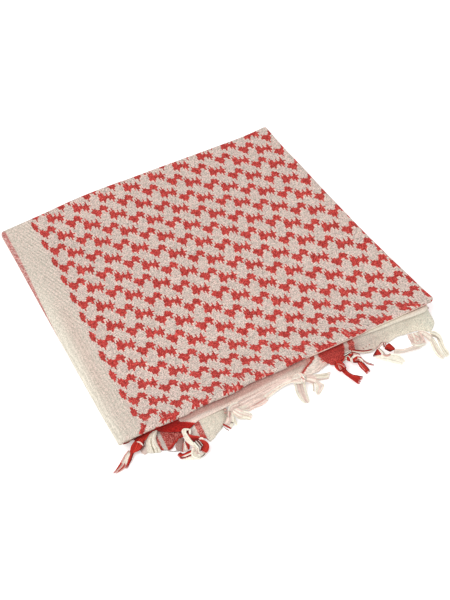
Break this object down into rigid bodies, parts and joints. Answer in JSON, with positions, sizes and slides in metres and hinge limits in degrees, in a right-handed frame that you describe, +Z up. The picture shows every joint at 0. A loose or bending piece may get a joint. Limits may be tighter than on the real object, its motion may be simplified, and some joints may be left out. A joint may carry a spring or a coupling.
{
  "type": "folded keffiyeh headscarf",
  "caption": "Red and off-white cotton keffiyeh folded flat into a rectangular stack, with knotted tassels along the front fold",
  "frame": {"origin": "middle of the bounding box, on the surface that the folded scarf lies on", "axes": "+Z up; +Y runs from the front fold, where the tassels are, to the back fold; +X runs along the front fold from left to right"},
  "size_m": [0.3764, 0.4508, 0.0295],
  "materials": {
    "patterned_cloth": "matt cotton, red figure woven on off-white",
    "striped_cloth": "matt cotton, off-white with red border stripes",
    "plain_cloth": "matt off-white cotton",
    "red_yarn": "matt red cotton yarn",
    "pale_yarn": "matt pale pink and cream cotton yarn"
  },
  "bodies": {
    "root": {"top_layer": "patterned_cloth", "folded_core": "patterned_cloth", "second_layer": "striped_cloth", "third_layer": "striped_cloth", "edge_curl": "plain_cloth", "fringe_band": "pale_yarn", "tassel_01": "red_yarn", "tassel_02": "red_yarn", "tassel_02_tail": "red_yarn", "tassel_03": "pale_yarn", "tassel_03_tail": "pale_yarn", "tassel_04": "pale_yarn", "tassel_05": "pale_yarn", "tassel_05_tail": "pale_yarn", "tassel_06": "red_yarn", "tassel_07": "red_yarn", "tassel_08": "pale_yarn", "tassel_08_knot": "red_yarn", "tassel_09": "pale_yarn", "tassel_10": "pale_yarn"}
  },
  "joints": []
}
